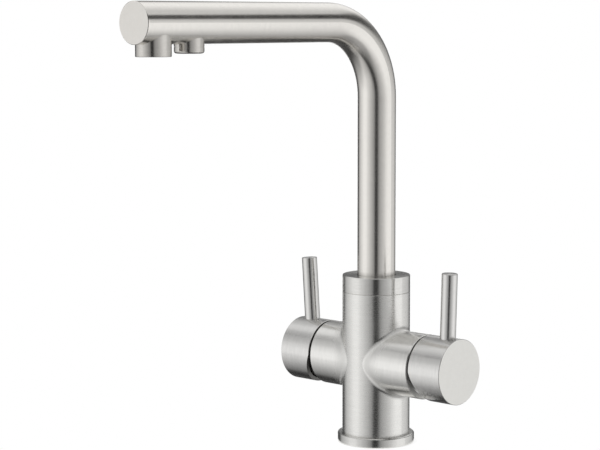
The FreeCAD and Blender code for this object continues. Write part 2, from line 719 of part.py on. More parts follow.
def make_spout_tube():
    """Bent tube with the two holes that the outlets are brazed over."""
    bend_foot = "spout_height - bend_radius"
    body = make_pipe(
        "spout_tube",
        ((("0", SPOUT_FLANGE_TOP), ("0", bend_foot)),
         (("0 - bend_radius", "spout_height"), ("0 - (spout_reach - end_thickness)", "spout_height"))),
        ("0 - bend_radius",), SPOUT_FLANGE_TOP, "tube_radius", TUBE_BORE)
    doc.recompute()
    drill(body, "XY_Plane", "spout_height",
          [("0", f"0 - {MAIN_OUTLET_REACH}", "aerator_radius - aerator_wall"),
           ("0", f"0 - {FILTER_OUTLET_REACH}", "pipe_radius + swing_gap")],
          "tube_radius + 1")
    node(body, "spout_tube")


def make_spout_end():
    """Disc that closes the spout, with a lip inside the tube."""
    under = "0 - end_thickness"
    lip = f"{TUBE_BORE} - fit_gap"
    body = turned("spout_end_cap", (
        ("0", under),
        (f"{lip} - tube_wall", under),
        (f"{lip} - tube_wall", f"{under} - end_lip"),
        (lip, f"{under} - end_lip"),
        (lip, under),
        ("tube_radius", under),
        ("tube_radius", "0 - edge_break"),
        ("tube_radius - edge_break", "0"),
        ("0", "0"),
    ))
    body.Placement = FreeCAD.Placement(FreeCAD.Vector(), FreeCAD.Rotation(FreeCAD.Vector(1, 0, 0), 90))
    bind(body, "Placement.Base.y", "0 - spout_reach")
    bind(body, "Placement.Base.z", "spout_height")


def make_filter_pipe():
    """Inner pipe that keeps filtered water apart, with the turning stalk at its foot."""
    foot = f"({STALK_UNDER} + stalk_length - pipe_into_stalk)"
    turn_start = f"0 - {FILTER_OUTLET_REACH} + pipe_turn_radius"
    body = make_pipe(
        "filter_pipe",
        ((("0", foot), ("0", "spout_height - bend_radius")),
         (("0 - bend_radius", "spout_height"), (turn_start, "spout_height")),
         ((f"0 - {FILTER_OUTLET_REACH}", "spout_height - pipe_turn_radius"),
          (f"0 - {FILTER_OUTLET_REACH}", PIPE_OUTLET_TOP))),
        ("0 - bend_radius", turn_start), foot, "pipe_radius", "pipe_radius - pipe_wall")
    node(body, "filter_pipe")
    outer = "stalk_bore_radius - running_gap"
    ring_height = f"{STALK_UNDER} + stalk_oring_rise"
    ring_middle = "stalk_bore_radius - running_gap / 2 - stalk_oring_radius"
    low = f"{ring_height} - stalk_oring_radius - fit_gap"
    high = f"{ring_height} + stalk_oring_radius + fit_gap"
    turned("filter_stalk", (
        ("stalk_waterway_radius", STALK_UNDER),
        (outer, STALK_UNDER),
        (outer, low),
        (f"{ring_middle} - stalk_oring_radius", low),
        (f"{ring_middle} - stalk_oring_radius", high),
        (outer, high),
        (outer, f"{STALK_UNDER} + stalk_length"),
        ("pipe_radius + fit_gap", f"{STALK_UNDER} + stalk_length"),
        ("pipe_radius + fit_gap", foot),
        ("stalk_waterway_radius", foot),
    ))
    node(primitive("Part::Torus", "stalk_o_ring", {
        "Radius1": ring_middle,
        "Radius2": "stalk_oring_radius",
    }, ("0", "0", ring_height)), "stalk_o_ring")


def make_outlet(name, reach, radius, bottom, rounding, bore, depth, throat):
    """Boss under the spout, saddle-cut to the tube and bored for its insert."""
    body = new_body(name)
    footprint = new_sketch(body, "XY_Plane", bottom)
    draw_circle(footprint, "0", "0", radius)
    boss = pad(body, footprint, f"spout_height - {bottom}")
    fillet(body, boss, rims(boss, radius, bottom), rounding)
    saddle = new_sketch(body, "XZ_Plane")
    draw_circle(saddle, "0", "spout_height", "tube_radius")
    pocket(body, saddle, f"4 * {radius}", both_ways=True)
    drill(body, "XY_Plane", bottom, [("0", "0", bore)], depth, forward=True)
    drill(body, "XY_Plane", bottom, [("0", "0", throat)], f"spout_height - {bottom}", forward=True)
    bind(body, "Placement.Base.y", f"0 - {reach}")
    return node(body, name)


def make_main_outlet():
    """Main outlet with its hidden aerator: seal, shell, flow plate and grid."""
    reach, bottom = MAIN_OUTLET_REACH, MAIN_OUTLET_BOTTOM
    make_outlet("main_outlet", reach, "main_outlet_radius", bottom, "main_outlet_round",
                "aerator_radius", "aerator_depth", "aerator_radius - aerator_wall")
    top = f"({bottom} + aerator_depth)"
    seal_under = f"({top} - aerator_seal_thickness)"
    shell_top = f"({seal_under} - grid_thickness)"
    shell_under = f"({bottom} + aerator_sink)"
    outer, inner = "aerator_radius - fit_gap", "aerator_radius - aerator_wall"
    ledge = f"{shell_under} + grid_thickness"
    shell = turned("aerator_shell", (
        (f"{inner} - aerator_wall", shell_under),
        (outer, shell_under),
        (outer, shell_top),
        (inner, shell_top),
        (inner, ledge),
        (f"{inner} - aerator_wall", ledge),
    ))
    seal = turned("aerator_seal", (
        (inner, seal_under), (outer, seal_under), (outer, top), (inner, top)))
    grid = perforated_disc("aerator_grid", f"{inner} - fit_gap", ledge)
    plate = perforated_disc("aerator_flow_plate", outer, shell_top)
    for piece in (shell, seal, grid, plate):
        bind(piece, "Placement.Base.y", f"0 - {reach}")


def perforated_disc(name, radius, under):
    """Thin disc with a middle jet and a ring of jets."""
    body = new_body(name)
    turn(body, (("0", under), (radius, under), (radius, f"{under} + grid_thickness"),
                ("0", f"{under} + grid_thickness")))
    drill(body, "XY_Plane", under, [("0", "0", "jet_radius")], "grid_thickness", forward=True)
    jet = drill(body, "XY_Plane", under, [("jet_ring_radius", "0", "jet_radius")],
                "grid_thickness", forward=True)
    repeat_round(body, jet, "jet_count")
    return node(body, name)


def make_filter_outlet():
    """Filtered water's outlet with its nozzle insert and seal."""
    reach, bottom = FILTER_OUTLET_REACH, FILTER_OUTLET_BOTTOM
    boss = make_outlet("filter_outlet", reach, "filter_outlet_radius", bottom, "filter_outlet_round",
                       "nozzle_radius", "nozzle_depth", "pipe_radius + swing_gap")
    inner, outer = "(filter_outlet_radius - ring_groove)", "(filter_outlet_radius + ring_groove)"
    under, over = f"({bottom} + ring_height)", f"({bottom} + ring_height + ring_groove)"
    groove(boss, ((inner, under), (outer, under), (outer, over), (inner, over)))
    insert_under = f"{bottom} + nozzle_sink"
    insert_top = f"{PIPE_OUTLET_TOP} - nozzle_seal_thickness"
    outer = "nozzle_radius - fit_gap"
    insert = turned("filter_nozzle", (
        ("nozzle_bore_radius", insert_under), (outer, insert_under), (outer, insert_top),
        ("nozzle_bore_radius", insert_top)))
    seal = turned("filter_nozzle_seal", (
        ("nozzle_bore_radius", insert_top), (outer, insert_top), (outer, PIPE_OUTLET_TOP),
        ("nozzle_bore_radius", PIPE_OUTLET_TOP)))
    for piece in (insert, seal):
        bind(piece, "Placement.Base.y", f"0 - {reach}")


# Cartridges

def make_cartridge_base(side):
    """Bottom of a cartridge with its ports, seal recesses and locating pegs, and the seals."""
    body = new_body(side + "_cartridge_base")
    outer = "pocket_radius - fit_gap"
    turn(body, (("0", SEAT), (outer, SEAT), (outer, DISC_UNDER), ("0", DISC_UNDER)))
    pegs = new_sketch(body, "XY_Plane", SEAT)
    for sign in (1, -1):
        draw_circle(pegs, "0", f"{sign} * peg_offset", "peg_radius")
    pad(body, pegs, "peg_length", reverse=True)
    recesses = [(up, across, f"{radius} + port_seal_width") for up, across, radius in PORTS[side]]
    drill(body, "XY_Plane", SEAT, recesses, "port_seal_thickness", forward=True)
    drill(body, "XY_Plane", SEAT, PORTS[side], "base_thickness", forward=True)
    node(in_arm(body, side), side + "_cartridge_base")
    seals = [ring(f"{side}_port_seal_{index}", f"{radius} + port_seal_width - fit_gap", radius,
                  "port_seal_thickness", (up, across, SEAT))
             for index, (up, across, radius) in enumerate(PORTS[side])]
    in_arm(group(side + "_port_seals", seals), side)


def make_discs(side):
    """Fixed ceramic disc with the ports, and the moving disc that slides over it."""
    fixed = turned(side + "_fixed_disc", (
        ("0", DISC_UNDER), ("disc_radius", DISC_UNDER), ("disc_radius", DISC_TOP), ("0", DISC_TOP)))
    drill(fixed, "XY_Plane", DISC_UNDER, PORTS[side], "disc_thickness", forward=True)
    in_arm(fixed, side)
    radius = "moving_disc_radius"
    moving = turned(side + "_moving_disc", (
        ("0", MOVING_UNDER), (radius, MOVING_UNDER), (radius, CARRIER_UNDER), ("0", CARRIER_UNDER)))
    drill(moving, "XY_Plane", MOVING_UNDER, [("0", "0", "mixing_recess_radius")],
          "mixing_recess_depth", forward=True)
    in_arm(moving, side)
    bind(moving, "Placement.Base.z", f"arm_height - {HALF_SLIDE}")


def make_carrier(side):
    """Plastic carrier: flats that run in the yoke and a round socket for the stem's ball."""
    body = new_body(side + "_disc_carrier")
    stock = new_sketch(body, "XY_Plane", CARRIER_UNDER)
    draw_circle(stock, "0", "0", "carrier_radius")
    pad(body, stock, "carrier_thickness")
    for sign in (1, -1):
        flat = new_sketch(body, "XY_Plane", CARRIER_UNDER)
        near, far = f"{sign} * carrier_flat", f"{sign} * (carrier_radius + 1)"
        draw_outline(flat, (("0 - carrier_radius", near), ("carrier_radius", near),
                            ("carrier_radius", far), ("0 - carrier_radius", far)))
        pocket(body, flat, "carrier_thickness", forward=True)
    drill(body, "XY_Plane", CARRIER_TOP, [("0", "0", "ball_radius + running_gap")],
          "ball_sink + ball_radius + slide_gap")
    node(in_arm(body, side), side + "_disc_carrier")
    bind(body, "Placement.Base.z", f"arm_height - {HALF_SLIDE}")


def make_housing(side):
    """Cartridge housing: shell, roof and the neck that guides the yoke."""
    outer = "pocket_radius - fit_gap"
    disc_wall = "disc_radius + fit_gap"
    bore = "neck_radius + running_gap"
    in_arm(turned(side + "_cartridge_housing", (
        (disc_wall, DISC_UNDER),
        (outer, DISC_UNDER),
        (outer, ROOF_TOP),
        ("guide_radius", ROOF_TOP),
        ("guide_radius", f"{ROOF_TOP} + guide_length"),
        (bore, f"{ROOF_TOP} + guide_length"),
        (bore, ROOF_UNDER),
        ("cavity_radius", ROOF_UNDER),
        ("cavity_radius", DISC_TOP),
        (disc_wall, DISC_TOP),
    )), side)


def make_nut(side):
    """Brass nut that holds the cartridge down, notched for its key, and the dress dome over it."""
    body = new_body(side + "_retaining_nut")
    outer, inner, top = "mouth_radius - fit_gap", "guide_radius + slide_gap", "0 - dome_skirt"
    turn(body, ((inner, ROOF_TOP), (outer, ROOF_TOP), (outer, top), (inner, top)))
    notch = new_sketch(body, "XY_Plane", top)
    near, far = f"{inner} - 1", f"{inner} + notch_width"
    draw_outline(notch, ((near, "0 - notch_width / 2"), (far, "0 - notch_width / 2"),
                         (far, "notch_width / 2"), (near, "notch_width / 2")))
    cut_notch = pocket(body, notch, "notch_depth")
    repeat_round(body, cut_notch, "notch_count")
    node(in_arm(body, side), side + "_retaining_nut")
    hole = "neck_radius + 2 * swing_gap"
    in_arm(turned(side + "_dome", (
        (f"{outer} - dome_wall", top),
        (outer, top),
        (outer, "0"),
        (hole, "dome_rise"),
        (hole, "dome_rise - dome_wall"),
        (f"{outer} - dome_wall", "0 - dome_wall / 2"),
    )), side)


# Handle mechanism: yoke, pin, stem

def make_yoke(side):
    """Turning yoke: ears that carry the disc carrier, a slot for the stem and the pin's cheeks."""
    body = new_body(side + "_yoke")
    ears_under = f"{CARRIER_UNDER} + slide_gap"
    flange = "cavity_radius - slide_gap"
    turn(body, (
        ("0", ears_under),
        (flange, ears_under),
        (flange, YOKE_TOP),
        ("neck_radius", YOKE_TOP),
        ("neck_radius", "neck_stand"),
        ("0", "neck_stand"),
    ))
    channel = new_sketch(body, "XY_Plane", ears_under)
    draw_box(channel, "cavity_radius + 1", "carrier_flat + running_gap")
    pocket(body, channel, f"{YOKE_UNDER} - ({ears_under})", forward=True)
    slot = new_sketch(body, "XY_Plane", "neck_stand")
    swing = "shank_width / 2 / cos(tilt_range) + (neck_stand + pivot_depth) * tan(tilt_range) + swing_gap"
    draw_box(slot, swing, "hub_width / 2 + running_gap")
    pocket(body, slot, f"neck_stand - ({ears_under})")
    pin_hole = new_sketch(body, "XZ_Plane")
    draw_circle(pin_hole, "0", "0 - pivot_depth", "pin_radius")
    pocket(body, pin_hole, "2 * neck_radius", both_ways=True)
    node(in_arm(body, side), side + "_yoke")
    pin = new_body(side + "_tilt_pin")
    section = new_sketch(pin, "XZ_Plane")
    draw_circle(section, "0", "0 - pivot_depth", "pin_radius")
    length = pad(pin, section, "2 * (neck_radius - 2 * swing_gap)")
    length.SideType = "Symmetric"
    node(in_arm(pin, side), side + "_tilt_pin")


def make_stem(side):
    """Steel stem that rocks on the pin: square shank outside, leaning finger and ball inside."""
    pivot = "0 - pivot_depth"
    hub = cylinder(side + "_hub", "hub_radius", "hub_width", ("0", "hub_width / 2", pivot))
    hub.Placement.Rotation = FreeCAD.Rotation(FreeCAD.Vector(1, 0, 0), 90)
    half = "0 - shank_width / 2"
    shank = box(side + "_shank", "shank_width", "shank_width",
                "pivot_depth + boss_start + grip_depth - swing_gap", (half, half, pivot))
    finger = cylinder(side + "_finger", "finger_radius", f"{BALL_DROP} / cos(tilt_range / 2)",
                      ("0", "0", pivot))
    finger.Placement.Rotation = FreeCAD.Rotation(FreeCAD.Vector(0, 1, 0), 180)
    bind(finger, "Placement.Rotation.Angle", "180 + tilt_range / 2")
    ball = primitive("Part::Sphere", side + "_ball", {"Radius": "ball_radius"},
                     (f"0 - {HALF_SLIDE}", "0", f"{pivot} - {BALL_DROP}"))
    bore = cylinder(side + "_stem_bore", "pin_radius + running_gap", "2 * hub_width",
                    ("0", "hub_width", pivot))
    bore.Placement.Rotation = FreeCAD.Rotation(FreeCAD.Vector(1, 0, 0), 90)
    solid = cut(side + "_stem_cut", fuse(side + "_stem_fuse", [hub, shank, finger, ball]), bore)
    node(in_arm(solid, side), side + "_stem")


# Handles

def make_cap(side):
    """Handle cap: open shell with a socketed boss, a slanted relief below and the lever's seat on top."""
    body = new_body(side + "_cap")
    inner = f"{ARM_RADIUS} - cap_wall"
    shell = turn(body, (
        (inner, "cap_gap"),
        (ARM_RADIUS, "cap_gap"),
        (ARM_RADIUS, f"{CAP_FACE} - edge_break"),
        (f"{ARM_RADIUS} - edge_break", CAP_FACE),
        ("0", CAP_FACE),
        ("0", "boss_start"),
        ("boss_radius", "boss_start"),
        ("boss_radius", f"{CAP_FACE} - cap_end"),
        (inner, f"{CAP_FACE} - cap_end"),
    ))
    fillet(body, shell, rims(shell, ARM_RADIUS, "cap_gap"), "cap_round")
    relief = new_sketch(body, "XZ_Plane")
    low = f"0 - {ARM_RADIUS} - 2"
    draw_outline(relief, (
        ("relief_start", "cap_gap"),
        ("relief_start", "cap_gap - 1"),
        (low, "cap_gap - 1"),
        (low, f"cap_gap + (relief_start + {ARM_RADIUS} + 2) * tan(relief_angle)"),
    ))
    pocket(body, relief, f"2 * {ARM_RADIUS} + 2", both_ways=True)
    grip = new_sketch(body, "XY_Plane", "boss_start")
    draw_box(grip, "shank_width / 2 + fit_gap", "shank_width / 2 + fit_gap")
    pocket(body, grip, "grip_depth", forward=True)
    lever_drilling(body, side, "lever_radius + fit_gap", "lever_seat + 2")
    lever_drilling(body, side, "thread_radius", f"{ARM_RADIUS} + 2")
    node(in_arm(body, side), side + "_cap")


def lever_drilling(body, side, radius, depth):
    """A hole along the lever's leaning axis, sunk from 2 mm above the cap."""
    sketch = new_sketch(body, "YZ_Plane")
    sketch.AttachmentOffset = FreeCAD.Placement(
        FreeCAD.Vector(), FreeCAD.Rotation(FreeCAD.Vector(-1, 0, 0), 1))
    lean = LEVER_LEAN[side]
    bind(sketch, "AttachmentOffset.Base.y", f"{LEVER_STATION} + 2 * sin({lean})")
    bind(sketch, "AttachmentOffset.Base.z", f"{ARM_RADIUS} + 2 * cos({lean})")
    bind(sketch, "AttachmentOffset.Rotation.Angle", lean)
    draw_circle(sketch, "0", "0", radius)
    return pocket(body, sketch, depth)


def on_lever(piece, side):
    """Stand a piece, drawn with +Z up the lever, where the lever leaves the cap."""
    out = OUTWARD[side]
    piece.Placement = FreeCAD.Placement(
        FreeCAD.Vector(), FreeCAD.Rotation(FreeCAD.Vector(0, out, 0), 1))
    bind(piece, "Placement.Base.x", f"{ARM_REACH[side]} + {out} * {LEVER_STATION}")
    bind(piece, "Placement.Base.z", f"arm_height + {ARM_RADIUS}")
    bind(piece, "Placement.Rotation.Angle", LEVER_LEAN[side])
    return piece


def make_lever(side):
    """Pin lever that screws into the cap, and the set screw that it covers."""
    body = new_body(side + "_lever")
    lean = LEVER_LEAN[side]
    under = f"(shank_width / 2 + set_screw_tip * sin({lean}) - {ARM_RADIUS}) / cos({lean})"
    top = f"{under} + set_screw_length"
    seat = "0 - lever_seat"
    thread = "thread_radius - fit_gap"
    shape = turn(body, (
        ("0", f"{top} + thread_room"),
        (thread, f"{top} + thread_room"),
        (thread, seat),
        ("lever_radius", seat),
        ("lever_radius", "lever_length"),
        ("0", "lever_length"),
    ))
    fillet(body, shape, rims(shape, "lever_radius", "lever_length"), "lever_round")
    node(on_lever(body, side), side + "_lever")
    screw = new_body(side + "_set_screw")
    turn(screw, (
        ("0", under),
        ("set_screw_tip", under),
        (thread, f"{under} + {thread} - set_screw_tip"),
        (thread, top),
        ("0", top),
    ))
    key = new_sketch(screw, "XY_Plane", top)
    flat, corner = "set_screw_key", "set_screw_key / cos(30)"
    draw_outline(key, ((corner, "0"), (f"{corner} / 2", flat), (f"0 - {corner} / 2", flat),
                       (f"0 - {corner}", "0"), (f"0 - {corner} / 2", f"0 - {flat}"),
                       (f"{corner} / 2", f"0 - {flat}")))
    pocket(screw, key, "set_screw_length / 2")
    node(on_lever(screw, side), side + "_set_screw")


# Build

def build():
    make_base_flange()
    make_base_seal()
    make_inlet_block()
    make_tap_body()
    make_collar()
    make_spout_base()
    make_spout_tube()
    make_spout_end()
    make_filter_pipe()
    make_main_outlet()
    make_filter_outlet()
    for side in SIDES:
        make_cartridge_base(side)
        make_discs(side)
        make_carrier(side)
        make_housing(side)
        make_nut(side)
        make_yoke(side)
        make_stem(side)
        make_cap(side)
        make_lever(side)
    doc.recompute()


def check():
    """Stop on anything that failed, is empty, or cuts nothing."""
    for thing in doc.Objects:
        if "Invalid" in thing.State or "Error" in thing.State:
            raise RuntimeError(f"{thing.Label} failed: {thing.State}")
        if thing.TypeId in ("PartDesign::Pocket", "PartDesign::Groove"):
            if thing.Shape.Volume > thing.BaseFeature.Shape.Volume - 0.01:
                raise RuntimeError(f"{thing.Label} cuts nothing")
    for piece in nodes:
        if piece.Shape.isNull() or not piece.Shape.isValid() or not piece.Shape.Solids:
            raise RuntimeError(f"{piece.Label} has no valid solid")


def write():
    os.makedirs("parts", exist_ok=True)
    for piece in nodes:
        piece.Shape.exportStep(f"parts/{piece.Label}.step")
        box_size = piece.Shape.BoundBox
        print(f"{piece.Label}: {len(piece.Shape.Solids)} solid(s), {piece.Shape.Volume / 1000:.2f} cm3, "
              f"z {box_size.ZMin:.2f} to {box_size.ZMax:.2f}")


build()
check()
write()
slide = 2 * value(HALF_SLIDE)
print(f"{len(nodes)} nodes; disc travel {slide:.4f} mm, "
      f"{slide / math.radians(value('tilt_range')) / 1000:.6f} m per radian of tilt")
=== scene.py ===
import math
from collections import namedtuple

import bpy
from mathutils import Matrix, Vector


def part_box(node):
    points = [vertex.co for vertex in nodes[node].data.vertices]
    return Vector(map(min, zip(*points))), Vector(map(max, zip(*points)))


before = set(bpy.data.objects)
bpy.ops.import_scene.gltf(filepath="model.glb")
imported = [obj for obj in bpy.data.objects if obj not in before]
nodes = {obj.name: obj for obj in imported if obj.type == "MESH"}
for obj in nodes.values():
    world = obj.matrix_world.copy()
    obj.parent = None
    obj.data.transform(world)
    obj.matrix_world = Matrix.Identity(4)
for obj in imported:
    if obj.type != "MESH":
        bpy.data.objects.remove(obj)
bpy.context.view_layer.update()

scene = bpy.context.scene


def middle(name):
    """The middle of a piece's box."""
    low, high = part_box(name)
    return (low + high) / 2


# Sizes in metres, from the frame where it shows them; the collar is as wide as the barrel
ARM_HEIGHT = middle("mixer_cap").z
BARREL_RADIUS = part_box("collar")[1].x
FLANGE_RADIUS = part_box("base_flange")[1].x
SHORT_ARM = -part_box("tap_body")[0].x
TUBE_HEIGHT = middle("spout_end_cap").z
BEND_RADIUS = 0.054
BEND_START = TUBE_HEIGHT - BEND_RADIUS
# Keeps divisions by a distance from an axis safe
LEAST_RADIUS = 1e-6


# Node helpers

class Nodes:
    """A node tree with short ways to add and join nodes."""

    def __init__(self, tree):
        self.tree = tree

    def add(self, kind, **inputs):
        made = self.tree.nodes.new("ShaderNode" + kind)
        for key, given in inputs.items():
            self.put(made.inputs[key.replace("_", " ")], given)
        return made

    def put(self, socket, given):
        """Link an output to a socket, or set the socket's own value."""
        if isinstance(given, bpy.types.NodeSocket):
            self.tree.links.new(given, socket)
        else:
            socket.default_value = given

    def math(self, operation, *inputs):
        return self.operate("Math", operation, inputs).outputs[0]

    def vector(self, operation, *inputs):
        made = self.operate("VectorMath", operation, inputs)
        return made.outputs["Value" if operation in ("LENGTH", "DOT_PRODUCT") else "Vector"]

    def operate(self, kind, operation, inputs):
        made = self.tree.nodes.new("ShaderNode" + kind)
        made.operation = operation
        for socket, given in zip(made.inputs, inputs):
            self.put(socket, given)
        return made

    def mix(self, factor, low, high):
        made = self.tree.nodes.new("ShaderNodeMix")
        made.data_type = "RGBA"
        for name, given in (("Factor_Float", factor), ("A_Color", low), ("B_Color", high)):
            socket = next(one for one in made.inputs if one.identifier == name)
            self.put(socket, given)
        return next(one for one in made.outputs if one.identifier == "Result_Color")

    def ramp(self, factor, low, high, low_value, high_value, smooth=False):
        """Map a factor range to a range of values."""
        made = self.tree.nodes.new("ShaderNodeMapRange")
        if smooth:
            made.interpolation_type = "SMOOTHSTEP"
        for name, given in (("Value", factor), ("From Min", low), ("From Max", high),
                            ("To Min", low_value), ("To Max", high_value)):
            self.put(made.inputs[name], given)
        return made.outputs[0]

    def place(self):
        """The shaded point in the frame, in metres."""
        return self.add("TexCoord").outputs["Object"]

    def noise(self, vector, scale, detail=2.0, roughness=0.5):
        made = self.add("TexNoise", Scale=scale, Detail=detail, Roughness=roughness)
        self.put(made.inputs["Vector"], vector)
        return made.outputs["Fac"]


class Material(Nodes):
    """A material with a node tree of its own."""

    def __init__(self, name):
        self.material = bpy.data.materials.new(name)
        self.material.use_nodes = True
        super().__init__(self.material.node_tree)
        self.shader = self.tree.nodes["Principled BSDF"]
        self.output = self.tree.nodes["Material Output"]


def linear(colour):
    """sRGB numbers from 0 to 255 as a linear colour."""
    parts = []
    for channel in colour:
        level = channel / 255
        parts.append(level / 12.92 if level <= 0.04045 else ((level + 0.055) / 1.055) ** 2.4)
    return (*parts, 1.0)


def scaled(colour, factor):
    return tuple(channel * factor for channel in colour)


# Where a turned piece's surface is: along its axis, from the axis, round it as a cosine and a sine,
# and the direction round it

Turned = namedtuple("Turned", "along radius cosine sine around")


def round_axis(made, centre, axis):
    """Places on a piece turned round a straight axis through centre."""
    axis = Vector(axis).normalized()
    first = axis.orthogonal().normalized()
    second = axis.cross(first)
    local = made.vector("SUBTRACT", made.place(), tuple(centre))
    around = made.vector("CROSS_PRODUCT", tuple(axis), local)
    radius = made.math("MAXIMUM", made.vector("LENGTH", around), LEAST_RADIUS)
    cosine, sine = [made.math("DIVIDE", made.vector("DOT_PRODUCT", local, tuple(side)), radius)
                    for side in (first, second)]
    return Turned(made.vector("DOT_PRODUCT", local, tuple(axis)), radius, cosine, sine, around)


def about_barrel(made):
    return round_axis(made, (0.0, 0.0, 0.0), (0, 0, 1))


def about_arms(made):
    return round_axis(made, (0.0, 0.0, ARM_HEIGHT), (1, 0, 0))


def about_piece(name, axis=(0, 0, 1)):
    """Places on a turned piece, round an axis through its own middle."""
    centre = middle(name)
    return lambda made: round_axis(made, centre, axis)


def about_spout(made):
    """Places on the spout tube, which rises, bends and runs out along -Y."""
    split = made.add("SeparateXYZ", Vector=made.place()).outputs
    across = split[0]
    out = made.math("ADD", split[1], BEND_RADIUS)
    up = made.math("SUBTRACT", split[2], BEND_START)
    angle = made.math("ARCTAN2", made.math("MAXIMUM", up, 0.0), made.math("MAXIMUM", out, LEAST_RADIUS))
    cosine, sine = made.math("COSINE", angle), made.math("SINE", angle)
    # Outwards in the bend's plane, from the tube's axis
    from_centre = made.math("ADD", made.math("MULTIPLY", out, cosine), made.math("MULTIPLY", up, sine))
    lift = made.math("SUBTRACT", from_centre, BEND_RADIUS)
    bent = made.math("MULTIPLY", angle, BEND_RADIUS)
    run = made.math("ADD", made.math("MINIMUM", up, 0.0),
                    made.math("SUBTRACT", bent, made.math("MINIMUM", out, 0.0)))
    axis = made.add("CombineXYZ", X=0.0, Y=made.math("MULTIPLY", sine, -1.0), Z=cosine).outputs[0]
    from_axis = made.add("CombineXYZ", X=across, Y=made.math("MULTIPLY", lift, cosine),
                         Z=made.math("MULTIPLY", lift, sine)).outputs[0]
    around = made.vector("CROSS_PRODUCT", axis, from_axis)
    radius = made.math("MAXIMUM", made.vector("LENGTH", around), LEAST_RADIUS)
    return Turned(run, radius, made.math("DIVIDE", across, radius), made.math("DIVIDE", lift, radius), around)


# Steel

STEEL = (240, 239, 236)
WARM_STEEL = (239, 236, 231)
# Scratches in a metre, fine and coarse
FINE = 2600.0
COARSE = 420.0
# How far steel's colour goes below and above its tint, and its relief's strength and depth in metres
TONE_RANGE = (-0.045, 0.02)
RELIEF = 0.01
RELIEF_DEPTH = 0.00002
# Distances from the barrel's wall over which the arms' brushing takes over and the ground weld lies
ARM_BRUSHING = (0.0002, 0.003)
WELD_RISE = (0.0, 0.0008)
WELD_FALL = (0.002, 0.008)
BARREL_ROUGH = 0.27
ARM_ROUGH = 0.21
WELD_ROUGH = 0.16


def scratches(made, turned, pitch, stretch):
    """Noise that is fine along the axis and drawn out round it."""
    along = made.math("MULTIPLY", made.math("ADD", turned.along, turned.radius), pitch)
    where = made.add("CombineXYZ", X=made.math("MULTIPLY", turned.cosine, stretch),
                     Y=made.math("MULTIPLY", turned.sine, stretch), Z=along)
    return made.noise(where.outputs[0], 1.0, 3.0, 0.65)


def steel(made, fine, coarse, tint, rough, contrast=1.0):
    """Colour, roughness and relief of steel, from two sizes of scratch and a faint cloudiness."""
    cloud = made.noise(made.place(), 60.0, 3.0, 0.55)
    dark, light = [linear(scaled(tint, 1.0 + change * contrast)) for change in TONE_RANGE]
    tone = made.math("ADD", made.math("MULTIPLY", fine, 0.45),
                     made.math("ADD", made.math("MULTIPLY", coarse, 0.3),
                               made.math("MULTIPLY", cloud, 0.25)))
    made.put(made.shader.inputs["Base Color"], made.mix(made.ramp(tone, 0.35, 0.65, 0.0, 1.0), dark, light))
    grain = made.math("ADD", made.ramp(fine, 0.3, 0.7, -0.02, 0.03), made.ramp(cloud, 0.3, 0.7, -0.02, 0.02))
    made.put(made.shader.inputs["Roughness"], made.math("ADD", rough, grain))
    made.shader.inputs["Metallic"].default_value = 1.0
    bump = made.add("Bump", Strength=RELIEF * contrast, Distance=RELIEF_DEPTH, Height=fine)
    made.put(made.shader.inputs["Normal"], bump.outputs[0])


def brush(made, around, anisotropy):
    """Stretch the highlights across the brushing, which runs along the given direction."""
    made.shader.inputs["Anisotropic"].default_value = anisotropy
    normal = made.add("NewGeometry").outputs["Normal"]
    made.put(made.shader.inputs["Tangent"],
             made.vector("NORMALIZE", made.vector("CROSS_PRODUCT", around, normal)))


def brushed(name, about, tint=STEEL, rough=0.22, anisotropy=0.6, contrast=1.0):
    """Steel brushed round the axis that about gives."""
    made = Material(name)
    turned = about(made)
    steel(made, scratches(made, turned, FINE, 2.0), scratches(made, turned, COARSE, 3.0), tint, rough,
          contrast)
    brush(made, turned.around, anisotropy)
    return made.material


def brushed_body():
    """Barrel brushed round its own axis and arms brushed round theirs, blended over the weld."""
    made = Material("brushed_body")
    barrel = about_barrel(made)
    arms = about_arms(made)

    def off_barrel(span, low, high, smooth=True):
        """A value that changes over a span of distances from the barrel's wall."""
        start, end = [BARREL_RADIUS + distance for distance in span]
        return made.ramp(barrel.radius, start, end, low, high, smooth)

    on_arm = off_barrel(ARM_BRUSHING, 0.0, 1.0)
    weld = made.math("MULTIPLY", off_barrel(WELD_RISE, 0.0, 1.0, smooth=False),
                     off_barrel(WELD_FALL, 1.0, 0.0))
    rough = made.math("ADD", made.ramp(on_arm, 0.0, 1.0, BARREL_ROUGH, ARM_ROUGH),
                      made.math("MULTIPLY", weld, WELD_ROUGH))
    fine, coarse = [made.mix(on_arm, scratches(made, barrel, pitch, 2.0), scratches(made, arms, pitch, 2.0))
                    for pitch in (FINE, COARSE)]
    steel(made, fine, coarse, STEEL, rough, contrast=0.8)
    brush(made, made.mix(on_arm, barrel.around, arms.around), 0.75)
    return made.material


def satin(name, tint=STEEL, rough=0.34):
    """Steel face with a fine even grain."""
    made = Material(name)
    steel(made, made.noise(made.place(), 2200.0, 2.0, 0.5), made.noise(made.place(), 300.0, 3.0, 0.5), tint,
          rough, contrast=0.5)
    return made.material


def machined(name, about, tint, rough):
    """Bare metal straight from the lathe, with fine turning marks."""
    made = Material(name)
    turned = about(made)
    marks = made.math("SINE", made.math("MULTIPLY", made.math("ADD", turned.along, turned.radius), 24000.0))
    fine = made.math("ADD", 0.5, made.math("MULTIPLY", marks, 0.2))
    steel(made, fine, made.noise(made.place(), 200.0), tint, rough)
    return made.material


# Other materials

